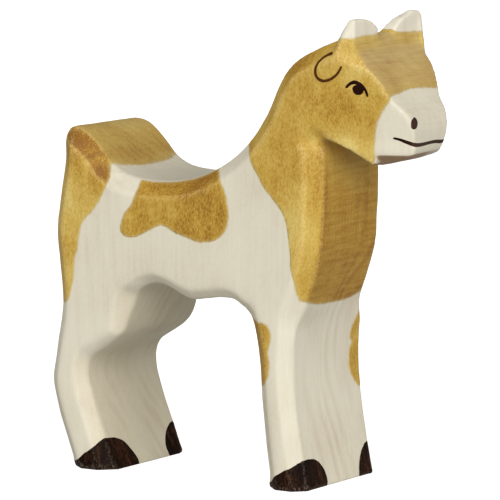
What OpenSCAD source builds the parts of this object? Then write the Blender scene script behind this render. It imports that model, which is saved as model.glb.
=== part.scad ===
// Carved and painted wooden goat kid.
// One block of maple is sawn to the side outline, its long edges are chamfered, the cheeks
// are cut back towards the nose and a notch parts the ears. Thin coats of stain and paint
// lie on the wood, each one a separate solid.
// +X is towards the nose, +Z is up, and the origin is on the ground under the middle.

/* [Block] */
// Thickness of the board
board_t = 25; // [23:0.5:28]
// Width of the 45 degree chamfers along the side outline
chamfer = 2.6; // [2:0.1:3]

/* [Head] */
// Half-width of the notch's floor between the ears
notch_floor = 2.2; // [1.5:0.1:3]
// Half-width of the notch at the ears' tips
notch_top = 7.6; // [6:0.1:8.5]
// Height of the ears above the crown
ear_rise = 2.9; // [2:0.1:3.5]
// Angle between the cheeks and the side faces
cheek_angle = 25; // [20:1:28]

/* [Paint] */
// Thickness of the coats of stain and paint
coat = 0.2; // [0.15:0.05:0.3]
// Width of a brush line
line_w = 0.5; // [0.4:0.05:0.8]
// Height of the hooves at the toe
hoof_h = 5.4; // [4:0.1:7]

/* [Hidden] */

// The side of the animal that a mark lies on, as the sign of Y
RIGHT = -1;
LEFT = 1;
// How far a cutting shape reaches past the wood
spare = 20;
// Half-width of the faces that run across the board, between their chamfers
face_half = board_t / 2 - chamfer;
// Height of the crown, which is the floor of the notch
crown_z = 75.4;
// Rear and front of the ears at their tips, and their rear where they leave the nape
ear_rear = 24.7;
ear_front = 26;
ear_root = 22.8;
// How far the ears' level tops reach from the middle of the board
ear_half = 10.2;
// The left ear stands higher, reaches further out, slopes down there, and runs out in the brow
left_ear_more = 0.4;
left_ear_half = 11.1;
left_ear_drop = 1;
left_ear_root = [27, 70.3];
// The notch's flank from its floor to the ear's tip, as shares of its width and height
notch_flank = [[0, 0], [0.16, 0.42], [0.43, 0.75], [0.73, 0.92], [1, 1]];
// The crease where a cheek leaves the side face, from the throat to the ear, how far behind it
// the cheek's cut starts, and the lower border of the cut, from the chin to the throat
crease_low = [16.5, 60];
crease_high = [25.5, 75];
crease_lap = 0.2;
cut_border = [[46, 50], [27, 53.2], [19.2, 58.2]];
// Thickness of the foot that the end of an ear narrows to
ear_foot = 0.4;
// How far the sawn legs run on below the ground, before the soles are cut level
run_on = 5;
// Parts that a spline makes of the stretch between two points
steps = 4;
// How far a coat that stops at a chamfer's edge laps over it
lap = 0.25;
// How far the head's stain stays below the crown
crown_gap = 0.7;
// Depth of the step where the ears leave the nape
nape_step = 0.2;
// Distance from the middle of the board within which no brush line lies
line_clear = 2;
// Sides of a round mark
round_sides = 24;

// Side outline as [X, Z] points. A spline joins the points of one run, and runs meet in corners.
rear_edge = [[-27.9, -run_on], [-29.8, 0], [-31, 3.5], [-33, 9], [-34.2, 14.5], [-33.4, 20.5],
    [-32.2, 27.5], [-32.6, 34], [-33.3, 40.5], [-32.4, 47], [-31.5, 52.5], [-31.5, 56.2],
    [-30.4, 58], [-28.4, 57.9]];
top_edge = [[-28.4, 57.9], [-26.5, 56.9], [-24.1, 54.7], [-21.5, 52], [-18, 50.4], [-12.5, 49.9],
    [-6.5, 50.5], [-1.5, 52.3], [2.5, 54.7], [6, 58], [9, 62.3], [11.3, 67.2], [14, 70.7],
    [18, 73], [22.5, 74.8], [24.6, crown_z]];
face_edge = [[ear_front, crown_z], [26.2, 73], [27.6, 71.3], [29.8, 68.3], [31.3, 65.2],
    [33.2, 63.1], [34.2, 60.6], [34, 58], [33.3, 56.2], [32.2, 55.5]];
jaw_edge = [[29.5, 54.6], [27, 54.1]];
throat_edge = [[25.2, 55.2], [23.3, 56.7], [21.3, 58.1], [19.4, 58.6]];
chest_edge = [[18.7, 57.6], [19, 51], [18.8, 44], [18.3, 39], [16.9, 34.5], [15.4, 30],
    [14.5, 25], [14.3, 19.5], [14.7, 14.5], [15.6, 8.5], [17.2, 0], [18.2, -run_on]];
belly_edge = [[8.4, -run_on], [9.3, 1], [8.7, 7], [8, 13], [7.5, 19.5], [6.6, 25.5], [5, 29.6],
    [2.2, 31.3], [-2, 30.9], [-5.3, 30.5], [-8.8, 31.8], [-12.6, 32.8], [-16, 31.2],
    [-17.8, 27.5], [-19.5, 23.5], [-22.6, 21.2], [-25.6, 19.2], [-26.6, 16.2], [-25.5, 12],
    [-23.6, 6.8], [-21, 0], [-19, -run_on]];

// Borders of the coats, as [X, Z] points on the side face
shoulder_border = [[3.6, 60], [5, 57.4], [6.8, 55.4], [8.6, 52.2], [12, 48], [14.2, 44.8],
    [14.9, 39.5], [15.5, 34.9], [15.8, 31.6], [17, 30.6], [19, 30.3], [22, 30.2]];
muzzle_border = [[27.8, 52], [27.9, 56], [28.4, 60.3], [30.2, 64], [31.8, 66.1], [34, 67]];
rump_border = [[-22.5, 56], [-22.1, 53], [-21.4, 50.2], [-22, 47.8], [-24.6, 44], [-26.8, 41],
    [-27.6, 37], [-28.3, 32], [-29.6, 29.2], [-33, 28.4], [-38, 28.4]];
patch_border = [[-16.5, 52], [-15.9, 49.6], [-15.8, 47], [-17.6, 44.3], [-18.6, 41.4],
    [-16.8, 40.3], [-13.8, 41.2], [-10.4, 42.6], [-7, 41.5], [-2.6, 40.4], [1.3, 41.5],
    [2.9, 45.2], [2.4, 48.8], [0.5, 51.6], [-1.4, 56], [-15.5, 56]];
spot_border = [[5, 29], [8, 28], [10.7, 26.9], [11.1, 25.1], [10.7, 23.1], [10.9, 20.9],
    [10.7, 18.7], [9.2, 16.8], [5, 15.5]];
// Corners that close the head's coat below the jaw and round the crown and the nape
below_jaw = [22, 52];
round_crown = [[34, crown_z - crown_gap], [20, crown_z - crown_gap], [10, crown_z], [0, 64]];
// Corners that close the rump's coat above the tail
above_tail = [[-38, 62], [-22.5, 62]];
// Sum of the X of a point on the right spot and of its mirrored point on the left spot
spot_mirror = 22;
// Inner border of the left spot as [Y, Z] points on the front of the leg
spot_front = [[spare, 28.8], [10.4, 28.3], [8.4, 26.5], [7.3, 23], [7.9, 21.2], [7.2, 18],
    [8.6, 16], [spare, 15]];

// Heel and toe of the hooves as X, and their inner ends as the distance from the middle
front_foot = [9.5, 16.6];
hind_foot = [-29, -21.8];
front_inner_right = 4.4;
front_inner_left = 6;
hind_inner_right = 2.8;
hind_inner_left = 5;
// Heights of a hoof's border behind the heel, at the heel and halfway to the toe
behind_heel_h = 1;
heel_h = 1.3;
halfway_h = 3.4;
// Drop of the border just behind the toe and its rise in front of it, and how far off both are
toe_drop = 0.3;
toe_rise = 0.6;
toe_reach = 1;
// How far a hoof's shape reaches below the ground
below_ground = 1;

// Brush lines, as [X, Z] points
ear_curl = [[22.7, 72.8], [21.2, 72.1], [20, 71], [19.7, 69.7], [20.2, 68.5], [21.5, 68.2],
    [23, 68.9], [24.3, 70.7]];
eyelid = [[24.6, 67.4], [25.3, 68.1], [26.1, 68.3], [27, 67.8], [27.6, 66.9], [27.7, 65.9]];
mouth = [[30.9, 58.9], [31.9, 58.7], [33.1, 58.3], [34, 57.8], [35.5, 57.8]];
iris = [26.4, 67.1];
iris_r = 0.85;
// Centres of the nostrils, the left one further back on its cheek, and their half-sizes
nostril_right_at = [34.1, -5, 61.6];
nostril_left_at = [32.9, 6.2, 61.6];
nostril_r = [0.8, 0.8, 0.95];

// Point at t, from 0 to 1, of the Catmull-Rom curve from b to c
function curve(a, b, c, d, t) =
    b + t * (c - a) / 2 + t * t * (2 * a - 5 * b + 4 * c - d) / 2
    + t * t * t * (3 * b - a - 3 * c + d) / 2;
// Open spline through p
function run(p) = [
    for (i = [0:len(p) - 2], s = [0:steps - 1])
        curve(p[max(i - 1, 0)], p[i], p[i + 1], p[min(i + 2, len(p) - 1)], s / steps),
    p[len(p) - 1]
];
// Closed spline through p
function ring(p) = let (n = len(p)) [
    for (i = [0:n - 1], s = [0:steps - 1])
        curve(p[(i + n - 1) % n], p[i], p[(i + 1) % n], p[(i + 2) % n], s / steps)
];

// Hands its children on as one closed surface
module one_surface() {
    resize([0, 0, 0]) union() children();
}

// Stands an [X, Z] shape up and gives it thickness across the board, from y0 to y1
module across(y0, y1) {
    translate([0, y1, 0]) rotate([90, 0, 0]) linear_extrude(y1 - y0) children();
}

// The same from y0 outwards past one side face
module outwards(side, y0) {
    if (side == RIGHT) across(-spare, -y0) children();
    else across(y0, spare) children();
}

// Extrudes a [Y, Z] shape from x0 to x1
module along(x0, x1) {
    translate([x0, 0, 0]) rotate([90, 0, 90]) linear_extrude(x1 - x0) children();
}

module side_outline() {
    polygon(concat(run(rear_edge), run(top_edge), run(face_edge), jaw_edge, throat_edge,
        run(chest_edge), run(belly_edge)));
}

// Two cones base to base, the shape that makes a 45 degree chamfer of width w
module chamfer_cones(w) {
    for (turn = [90, -90])
        rotate([turn, 0, 0]) cylinder(h = w, r1 = w, r2 = 0, $fn = 12);
}

// The sawn and chamfered block, larger by grow all over
module block(grow) {
    minkowski() {
        across(-face_half, face_half) offset(delta = -chamfer) side_outline();
        chamfer_cones(chamfer + grow);
    }
    across(-face_half, face_half) offset(delta = grow) side_outline();
}

// One ear as a ridge on the crown, its outer end sloping down into the side face
module ear_ridge(side, grow) {
    top = crown_z + ear_rise + (side == LEFT ? left_ear_more : 0) + grow;
    front = ear_front + grow;
    module profile(top) {
        polygon([[ear_root, crown_z - chamfer], [ear_root - grow, crown_z - nape_step],
            [ear_rear, top], [front, top], [front, crown_z - chamfer]]);
    }
    module slice(y, top) {
        translate([0, side * y, 0]) across(-ear_foot / 2, ear_foot / 2) profile(top);
    }
    across(min(0, side * ear_half), max(0, side * ear_half)) profile(top);
    hull() {
        slice(ear_half, top);
        if (side == LEFT) {
            slice(left_ear_half, top - left_ear_drop);
            translate([left_ear_root.x, ear_half, left_ear_root.y]) cube(ear_foot, center = true);
        }
        translate([ear_front - chamfer, side * (board_t / 2 + grow - ear_foot), crown_z - chamfer])
            cube(ear_foot, center = true);
    }
}

// The wood outside one cheek's plane, above the throat
module cheek_waste(side, grow) {
    rise = crease_high - crease_low;
    behind = [-rise.y, rise.x] * crease_lap;
    intersection() {
        translate([crease_low.x, side * (board_t / 2 + grow), crease_low.y])
            rotate([0, -atan2(rise.y, rise.x), 0])
                rotate([-side * cheek_angle, 0, 0])
                    translate([0, side * spare, 0])
                        cube([spare * 4, spare * 2, spare * 4], center = true);
        across(-spare, spare) offset(delta = -grow)
            polygon(concat([crease_low + behind, crease_high + rise + behind,
                [cut_border[0].x, crease_high.y]], cut_border));
    }
}

module notch(grow) {
    top = crown_z + ear_rise;
    flank = [
        for (p = notch_flank)
            [notch_floor - grow + p.x * (notch_top - notch_floor),
                crown_z + grow + p.y * (top - crown_z)]
    ];
    tip = flank[len(flank) - 1];
    for (turn = [0, 1])
        mirror([0, turn, 0]) along(0, spare * 2)
            polygon(concat([[-lap, crown_z + grow]], flank, [[tip.x, top + spare],
                [-lap, top + spare]]));
}

// The whole carving, larger by grow all over but still level with the ground
module carving(grow = 0) {
    difference() {
        union() {
            block(grow);
            for (side = [RIGHT, LEFT]) ear_ridge(side, grow);
        }
        for (side = [RIGHT, LEFT]) cheek_waste(side, grow);
        notch(grow);
        translate([-spare * 3, -spare, -spare]) cube([spare * 6, spare * 2, spare]);
    }
}

// A coat on the carving where it passes through the children
module painted() {
    difference() {
        intersection() {
            carving(coat);
            children();
        }
        carving();
    }
}

// A brush line along the points p
module brush(p) {
    pen = run(p);
    for (i = [0:len(pen) - 2])
        hull() {
            translate(pen[i]) circle(d = line_w, $fn = 8);
            translate(pen[i + 1]) circle(d = line_w, $fn = 8);
        }
}

// Where each coat lies
module neck_zone() {
    across(-spare, spare)
        polygon(concat(run(shoulder_border), [below_jaw], run(muzzle_border), round_crown));
}

module rump_zone() {
    across(-spare, spare) polygon(concat(run(rump_border), above_tail));
}

module patch_zone(side) {
    outwards(side, face_half - lap) polygon(ring(patch_border));
}

// The right spot lies on the rear of the leg's side, and the left one wraps round its front
module right_spot_zone() {
    outwards(RIGHT, face_half - lap) polygon(ring(spot_border));
}

module left_spot_zone() {
    intersection() {
        across(0, spare) translate([spot_mirror, 0]) mirror([1, 0]) polygon(ring(spot_border));
        along(0, spare) polygon(spot_front);
    }
}

// A hoof covers a leg's outer foot, higher at the toe than at the heel
module hoof_zone(side, foot, inner_y) {
    heel = foot[0];
    toe = foot[1];
    intersection() {
        across(-spare, spare)
            polygon([[heel - spare, -below_ground], [heel - spare, behind_heel_h],
                [heel, heel_h], [(heel + toe) / 2, halfway_h],
                [toe - toe_reach, hoof_h - toe_drop], [toe + toe_reach, hoof_h + toe_rise],
                [toe + spare, hoof_h + toe_rise], [toe + spare, -below_ground]]);
        along(-spare * 3, spare * 3)
            polygon([
                for (a = [0:15:90])
                    [side * (inner_y + (face_half + lap - inner_y) * (1 - cos(a))), hoof_h * sin(a)],
                [side * spare, hoof_h], [side * spare, -below_ground],
                [side * inner_y, -below_ground]
            ]);
    }
}

module eye_zone(side) {
    outwards(side, line_clear) {
        brush(eyelid);
        translate(iris) circle(r = iris_r, $fn = round_sides);
    }
}

module ear_line_zone(side) {
    outwards(side, line_clear) brush(ear_curl);
}

module nostril_zone(side) {
    translate(side == RIGHT ? nostril_right_at : nostril_left_at)
        scale(nostril_r) sphere(1, $fn = round_sides);
}

module mouth_zone() {
    across(-spare, spare) brush(mouth);
}

module wood_body() {
    color("antiquewhite") one_surface() carving();
}

module neck_coat() {
    color("goldenrod") one_surface() painted() difference() {
        neck_zone();
        for (side = [RIGHT, LEFT]) {
            eye_zone(side);
            ear_line_zone(side);
        }
    }
}

module back_patch(side) {
    color("goldenrod") one_surface() painted() patch_zone(side);
}

module rump_coat() {
    color("goldenrod") one_surface() painted() rump_zone();
}

module leg_spot_right() {
    color("goldenrod") one_surface() painted() right_spot_zone();
}

module leg_spot_left() {
    color("goldenrod") one_surface() painted() left_spot_zone();
}

module hoof_front(side) {
    color("saddlebrown") one_surface() painted()
        hoof_zone(side, front_foot, side == RIGHT ? front_inner_right : front_inner_left);
}

module hoof_hind(side) {
    color("saddlebrown") one_surface() painted()
        hoof_zone(side, hind_foot, side == RIGHT ? hind_inner_right : hind_inner_left);
}

module eye(side) {
    color("black") one_surface() painted() eye_zone(side);
}

module ear_line(side) {
    color("black") one_surface() painted() ear_line_zone(side);
}

module nostril(side) {
    color("black") one_surface() painted() nostril_zone(side);
}

module mouth_line() {
    color("black") one_surface() painted() mouth_zone();
}

wood_body();
neck_coat();
back_patch(RIGHT);  // back_patch_right
back_patch(LEFT);  // back_patch_left
rump_coat();
leg_spot_right();
leg_spot_left();
hoof_front(RIGHT);  // hoof_front_right
hoof_front(LEFT);  // hoof_front_left
hoof_hind(RIGHT);  // hoof_hind_right
hoof_hind(LEFT);  // hoof_hind_left
eye(RIGHT);  // eye_right
eye(LEFT);  // eye_left
ear_line(RIGHT);  // ear_line_right
ear_line(LEFT);  // ear_line_left
nostril(RIGHT);  // nostril_right
nostril(LEFT);  // nostril_left
mouth_line();
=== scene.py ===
import math

import bpy
import numpy as np
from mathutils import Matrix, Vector
from mathutils.bvhtree import BVHTree


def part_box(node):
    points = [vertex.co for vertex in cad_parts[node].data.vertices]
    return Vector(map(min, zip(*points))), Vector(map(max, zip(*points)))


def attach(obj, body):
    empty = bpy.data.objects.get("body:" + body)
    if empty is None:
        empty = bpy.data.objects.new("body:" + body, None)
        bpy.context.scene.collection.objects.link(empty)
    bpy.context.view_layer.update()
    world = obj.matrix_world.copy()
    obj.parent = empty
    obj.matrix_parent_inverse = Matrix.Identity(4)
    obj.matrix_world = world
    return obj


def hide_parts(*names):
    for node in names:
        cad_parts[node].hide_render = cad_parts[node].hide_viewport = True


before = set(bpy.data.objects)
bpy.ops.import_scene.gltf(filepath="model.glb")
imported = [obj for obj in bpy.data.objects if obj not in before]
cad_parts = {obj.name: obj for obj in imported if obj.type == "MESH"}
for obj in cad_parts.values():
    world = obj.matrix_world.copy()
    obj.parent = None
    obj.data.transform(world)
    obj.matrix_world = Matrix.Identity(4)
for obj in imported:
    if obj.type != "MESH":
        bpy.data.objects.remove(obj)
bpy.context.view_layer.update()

# The figure is one carved block, so every piece rides on "root". All lengths below are in mm, in
# the CAD frame: +X towards the nose, +Z up, the origin on the ground. -Y is the right side.
MM = 0.001
RIGHT, LEFT = -1, 1


# ---------------------------------------------------------------- number helpers

def smooth(low, high, x):
    """Rises from 0 to 1 between low and high."""
    t = np.clip((x - low) / (high - low), 0, 1)
    return t * t * (3 - 2 * t)


def band(start, full, fade, end, x):
    """1 between full and fade, and 0 before start and after end."""
    return smooth(start, full, x) * (1 - smooth(fade, end, x))


def lumps(points, size, seed):
    """Smooth noise from -1 to 1 with lumps about size mm wide."""
    table = np.random.RandomState(seed).uniform(-1, 1, (32, 32, 32))
    q = points / np.asarray(size, float) + 97.3
    cell = np.floor(q).astype(int)
    f = q - cell
    f = f * f * (3 - 2 * f)
    total = np.zeros(len(points))
    for corner in np.ndindex(2, 2, 2):
        share = np.prod(np.where(corner, f, 1 - f), axis=1)
        i, j, k = ((cell + corner) & 31).T
        total += share * table[i, j, k]
    return total


def waves(points, *parts):
    """Sum of smooth noises, each given as its height and width in mm and its seed."""
    return sum(height * lumps(points, size, seed) for height, size, seed in parts)


def spline(points, closed=False, parts=8):
    """Catmull-Rom curve through the points."""
    p = np.asarray(points, float)
    n = len(p)
    spans = n if closed else n - 1
    out = []
    for i in range(spans):
        if closed:
            a, b, c, d = (p[(i + k) % n] for k in (-1, 0, 1, 2))
        else:
            a, b, c, d = (p[min(max(i + k, 0), n - 1)] for k in (-1, 0, 1, 2))
        for t in np.arange(parts) / parts:
            out.append(b + t * (c - a) / 2 + t * t * (2 * a - 5 * b + 4 * c - d) / 2
                       + t ** 3 * (3 * b - a - 3 * c + d) / 2)
    if not closed:
        out.append(p[-1])
    return np.array(out)


def segment_distance(q, line):
    """Distance of each point from a polyline, and on which side of it the point lies."""
    best = np.full(len(q), 1e9)
    side = np.zeros(len(q))
    for a, b in zip(line[:-1], line[1:]):
        ab = b - a
        t = np.clip(((q - a) @ ab) / max(ab @ ab, 1e-12), 0, 1)
        gap = q - (a + t[:, None] * ab)
        d = np.hypot(gap[:, 0], gap[:, 1])
        nearer = d < best
        best[nearer] = d[nearer]
        side[nearer] = (ab[0] * (q[nearer, 1] - a[1]) - ab[1] * (q[nearer, 0] - a[0]))
    return best, side


def beside(u, v, points):
    """Signed distance in mm from an open border, positive on its left."""
    d, side = segment_distance(np.column_stack((u, v)), spline(points))
    return np.where(side > 0, d, -d)


def within(u, v, points):
    """Signed distance in mm from a closed border, positive inside."""
    ring = spline(points, closed=True)
    ring = np.vstack((ring, ring[:1]))
    q = np.column_stack((u, v))
    d, _ = segment_distance(q, ring)
    inside = np.zeros(len(q), bool)
    for a, b in zip(ring[:-1], ring[1:]):
        crosses = (a[1] > q[:, 1]) != (b[1] > q[:, 1])
        if a[1] != b[1]:
            inside ^= crosses & (q[:, 0] < (b[0] - a[0]) * (q[:, 1] - a[1]) / (b[1] - a[1]) + a[0])
    return np.where(inside, d, -d)


# ---------------------------------------------------------------- mesh helpers

def relaxed(points, edges, rounds, strength=0.5):
    """Moves each point towards the mean of its neighbours, which rounds off the ridges."""
    n = len(points)
    count = np.bincount(edges.ravel(), minlength=n)[:, None]
    p = points.copy()
    for _ in range(rounds):
        total = np.column_stack([
            np.bincount(edges[:, 0], p[edges[:, 1], k], n)
            + np.bincount(edges[:, 1], p[edges[:, 0], k], n) for k in range(3)])
        p += np.asarray(strength) * (total / count - p)
    return p


def normals_of(points, tris):
    """The mean normal at each point."""
    a, b, c = (points[tris[:, k]] for k in range(3))
    face = np.cross(b - a, c - a)
    n = np.zeros_like(points)
    for k in range(3):
        for axis in range(3):
            n[:, axis] += np.bincount(tris[:, k], face[:, axis], len(points))
    return n / np.maximum(np.linalg.norm(n, axis=1), 1e-12)[:, None]


def add_piece(name, points, faces, flat_from=None, **values):
    """Makes a mesh object from points in mm, with one attribute of the mesh for each value."""
    mesh = bpy.data.meshes.new(name)
    mesh.from_pydata((points * MM).tolist(), [], [list(map(int, f)) for f in faces])
    flat = np.zeros(len(faces), bool)
    if flat_from is not None:
        flat[flat_from:] = True
    mesh.polygons.foreach_set("use_smooth", ~flat)
    for key, value in values.items():
        mesh.attributes.new(key, "FLOAT", "POINT").data.foreach_set(
            "value", np.asarray(value, np.float32))
    mesh.validate()
    mesh.update()
    piece = bpy.data.objects.new(name, mesh)
    bpy.context.scene.collection.objects.link(piece)
    return piece


def shell(outer, inner, loops):
    """A closed skin from two sheets of points with the same loops: points, faces and rim."""
    count = len(outer)
    faces = [list(f) for f in loops] + [[i + count for i in reversed(f)] for f in loops]
    known = {(f[i], f[(i + 1) % len(f)]) for f in loops for i in range(len(f))}
    rim = sorted((a, b) for a, b in known if (b, a) not in known)
    walls = [[b, a, a + count, b + count] for a, b in rim]
    return np.vstack((outer, inner)), faces, walls


def settle(piece, node, look):
    """Every new piece rides on the block, replaces its CAD node and takes the look it is given."""
    piece.data.materials.append(look)
    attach(piece, "root")
    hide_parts(node)


# ---------------------------------------------------------------- the carved block

VOXEL = 0.37
HALF_BOARD = 12.5
SANDING = 0.5  # how far one round of sanding moves a point towards its neighbours


def dense_block():
    """The CAD block as an even, dense mesh: points, edges and triangles."""
    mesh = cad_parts["wood_body"].data.copy()
    mesh.transform(((1 / MM, 0, 0, 0), (0, 1 / MM, 0, 0), (0, 0, 1 / MM, 0), (0, 0, 0, 1)))
    block = bpy.data.objects.new("block", mesh)
    bpy.context.scene.collection.objects.link(block)
    remesh = block.modifiers.new("even", "REMESH")
    remesh.mode = "VOXEL"
    remesh.voxel_size = VOXEL
    evaluated = block.evaluated_get(bpy.context.evaluated_depsgraph_get())
    even = bpy.data.meshes.new_from_object(evaluated)
    points = np.empty(len(even.vertices) * 3)
    even.vertices.foreach_get("co", points)
    edges = np.empty(len(even.edges) * 2, int)
    even.edges.foreach_get("vertices", edges)
    even.calc_loop_triangles()
    tris = np.empty(len(even.loop_triangles) * 3, int)
    even.loop_triangles.foreach_get("vertices", tris)
    bpy.data.objects.remove(block)
    bpy.data.meshes.remove(mesh)
    bpy.data.meshes.remove(even)
    return points.reshape(-1, 3), edges.reshape(-1, 2), tris.reshape(-1, 3)


points, edges, tris = dense_block()

# A bevel along the lower edges of the muzzle, its slope halfway between the cheek and the ground
CHEEK_NORMAL = np.array((0.362, 0.906, -0.217))
DOWN = (0, 0, -1)
BEVEL_AT = np.array((30, 6.14, 56.0))
BEVEL_START_X = (26.8, 27.8)
BELOW_HEAD_Z = 50
bevel_normal = CHEEK_NORMAL + DOWN
bevel_normal /= np.linalg.norm(bevel_normal)
for side in (RIGHT, LEFT):
    mirror = np.array((1, side, 1))
    above = (points - BEVEL_AT * mirror) @ (bevel_normal * mirror)
    depth = (np.maximum(above, 0) * smooth(*BEVEL_START_X, points[:, 0])
             * (points[:, 2] > BELOW_HEAD_Z))
    points -= depth[:, None] * (bevel_normal * mirror)

# Two kinds of long edges were bevelled less than the rest: those of the legs' fronts, and those
# under the right side of the belly. A bevel is known by the Y of its normal, and by how far the
# normal leans forwards or down
BEVEL_NORMAL_Y = 0.707
NEAR_IT = (0.16, 0.26)
LEANS = (0.3, 0.5)
LEG_FILL, LEG_TOP_Z = 0.5, (25, 30)
BELLY_FILL, BELLY_X, BELLY_FROM_Z = 0.7, (-27, -25, 6, 9), (14, 18)
carved = normals_of(points, tris)
bevelled = 1 - smooth(*NEAR_IT, np.abs(np.abs(carved[:, 1]) - BEVEL_NORMAL_Y))
leg_bevel = bevelled * smooth(*LEANS, carved[:, 0]) * (1 - smooth(*LEG_TOP_Z, points[:, 2]))
points += carved * (1, 1, 0) * (LEG_FILL * leg_bevel)[:, None]
belly_bevel = (bevelled * smooth(*LEANS, -carved[:, 2]) * smooth(*BELLY_FROM_Z, points[:, 2])
               * band(*BELLY_X, points[:, 0]) * (points[:, 1] < 0))
points += carved * (BELLY_FILL * belly_bevel)[:, None]
points[:, 1] = np.clip(points[:, 1], -HALF_BOARD, HALF_BOARD)

# The front of the chest was sanded a little askew
CHEST_X, CHEST_ZONE_Z = (10, 15), (26, 31, 56, 59)
CHEST_FORWARD, CHEST_SKEW = 0.25, 0.065
askew = smooth(*CHEST_X, points[:, 0]) * band(*CHEST_ZONE_Z, points[:, 2])
points[:, 0] += askew * (CHEST_FORWARD - CHEST_SKEW * points[:, 1])


def sanded(points, rounds, mask):
    """Rounds off the ridges, most where the mask is 1."""
    return relaxed(points, edges, rounds, (SANDING * mask)[:, None])


# Sanding: the ridges get round, the edges of the soles, of the head and of the ears least of all
SOLE_Z, HEAD_X, HEAD_Z, EARS_Z = (0.6, 2.2), (22, 26), (52, 54), (73.5, 75)
SOLES_SPARED, HEAD_SPARED, EARS_SPARED, EARS_SPARED_FIRST = 0.85, 0.8, 0.8, 0.4
near_sole = 1 - smooth(*SOLE_Z, points[:, 2])
near_head = smooth(*HEAD_X, points[:, 0]) * smooth(*HEAD_Z, points[:, 2])
near_ears = smooth(*EARS_Z, points[:, 2])
points = sanded(points, 2, 1 - EARS_SPARED_FIRST * near_ears)
points = sanded(points, 4, (1 - SOLES_SPARED * near_sole) * (1 - HEAD_SPARED * near_head)
                * (1 - EARS_SPARED * near_ears))

# Places that were sanded rounder than the rest, and the rounds each took. Their zones [start,
# full, fade, end] are of X, of Z and of the distance from the middle of the board
FAR = 1000
ROUNDER = {
    "belly": ((-28.5, -27, 5, 8), (12, 17, 33, 36), (10.6, 11.4, FAR, FAR + 1), 6),
    "hocks": ((-27.5, -26, -20, -17.5), (15, 19, 25, 28), (8.5, 10, FAR, FAR + 1), 8),
    "brow": ((24.5, 25.5, FAR, FAR + 1), (69.5, 71, 75.4, 76.2), (-2, -1, 8.8, 10), 60),
}
for zone_x, zone_z, zone_out, rounds in ROUNDER.values():
    mask = (band(*zone_x, points[:, 0]) * band(*zone_z, points[:, 2])
            * band(*zone_out, np.abs(points[:, 1])))
    points = sanded(points, rounds, mask)
normals = normals_of(points, tris)

# The hand-sanded surface isn't quite flat, and its ridges wander a little. Each wave has its
# height, its width and the seed of its noise
FULL_RIDGE = 0.09
SURFACE_WAVES = ((0.09, 12, 1), (0.035, 4.5, 2))
RIDGE_WAVES = ((0.09, 3.2, 3), (0.03, 1.3, 4))
SANDED_OFF = 0.05
STILL_Z, CALM_Z = 0, 2  # the waves stop at the ground
ridge = np.einsum("ij,ij->i", points - relaxed(points, edges, 8), normals)
ridge = relaxed(np.repeat(ridge[:, None], 3, 1), edges, 2)[:, 0]
ridge = np.clip(ridge / FULL_RIDGE, -1, 1)
wander = (waves(points, *SURFACE_WAVES)
          + np.clip(ridge, 0, 1) * waves(points, *RIDGE_WAVES))
wander = (wander - SANDED_OFF) * smooth(STILL_Z, CALM_Z, points[:, 2])
points = points + normals * wander[:, None]
points[:, 2] = np.maximum(points[:, 2], 0)
normals = normals_of(points, tris)
x, y, z = points.T
# Faces that run across the block: the front, the rear, the top and the underside
faces_side = np.abs(relaxed(normals, edges, 2)[:, 1])
facing_across = 1 - smooth(0.3, 0.6, faces_side)
facing_front = facing_across * (normals[:, 0] > 0)
facing_rear = facing_across * (normals[:, 0] < 0)

# ---------------------------------------------------------------- borders of the coats

# Points [X, Z] on the sides, and [Y, Z] on the faces that run across the block
SHOULDER = [(1, 66), (3.4, 60), (5, 57.4), (6.8, 55.6), (7.4, 54.2), (8.6, 52.2), (10.1, 49.9),
            (12, 48), (13.4, 46.4), (14.1, 44.8), (14.5, 42.7), (14.9, 39.5), (15.1, 37),
            (15.5, 34.9), (15.7, 32.9), (15.9, 31.3), (16.2, 27)]
CHEST = [(-14, 32.6), (-9.5, 31.3), (-5, 30.6), (1, 30.2), (5, 30.4), (9.5, 31.2), (14, 32.6)]
CHEST_FRONT_X, CHEST_FRONT_Z, CHEST_END_X = (8, 11), (44, 50), (12.5, 14.5)
MUZZLE = [(34, 69), (31.4, 65.6), (30.2, 64), (29.1, 62.3), (28.4, 60.3), (28, 57.8),
          (27.8, 55.8), (27.9, 50)]
NOSE = [(-14, 65.4), (-6.5, 65.9), (-2, 66.4), (2.5, 66.5), (7, 66.2), (14, 65.8)]
CROWN_RIGHT_Z, CROWN_LEFT_Z = 75.25, 75.05
CROWN_BULGE, CROWN_IN_NOTCH, NOTCH_Y = 0.35, 1.6, (1.5, 3)
EAR_Y = 10
RUMP = [(-23, 60), (-22.8, 54), (-22.4, 52.8), (-21.8, 51.6), (-21.4, 50.4), (-21.4, 49.2),
        (-21.9, 47.7), (-23, 46),
        (-24.6, 44), (-26.2, 42.4), (-26.9, 40.5), (-27.3, 38.2), (-27.8, 36), (-28, 33.9),
        (-28.4, 31.4), (-29, 29.4), (-30, 28.4), (-33, 28), (-38, 28)]
# The border bulges where it crosses the top and the rear of the rump
RUMP_BULGE_TOP, RUMP_BULGE_REAR, RUMP_HALF_WIDTH, RUMP_REAR_TOP_Z = 1.0, 0.9, 11, 40
PATCH = [(-16.2, 50.6), (-15.7, 49), (-15.7, 47.4), (-16.4, 45.7), (-17.6, 44.3),
         (-18.4, 42.7), (-18.6, 41.4), (-18, 40.6), (-16.8, 40.3), (-15.1, 40.6),
         (-13.5, 41.4), (-12.1, 42.1), (-10.5, 42.6), (-8.9, 42.3), (-7, 41.5), (-5, 40.8),
         (-2.6, 40.4), (-0.2, 40.7), (1.3, 41.5), (2.5, 42.9), (2.9, 45.3), (2.7, 47.3),
         (2.3, 48.9), (1.5, 50.5), (0.4, 51.7), (-0.6, 52.8), (-1.6, 56), (-8, 58), (-15.6, 57),
         (-16.4, 53)]
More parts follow.
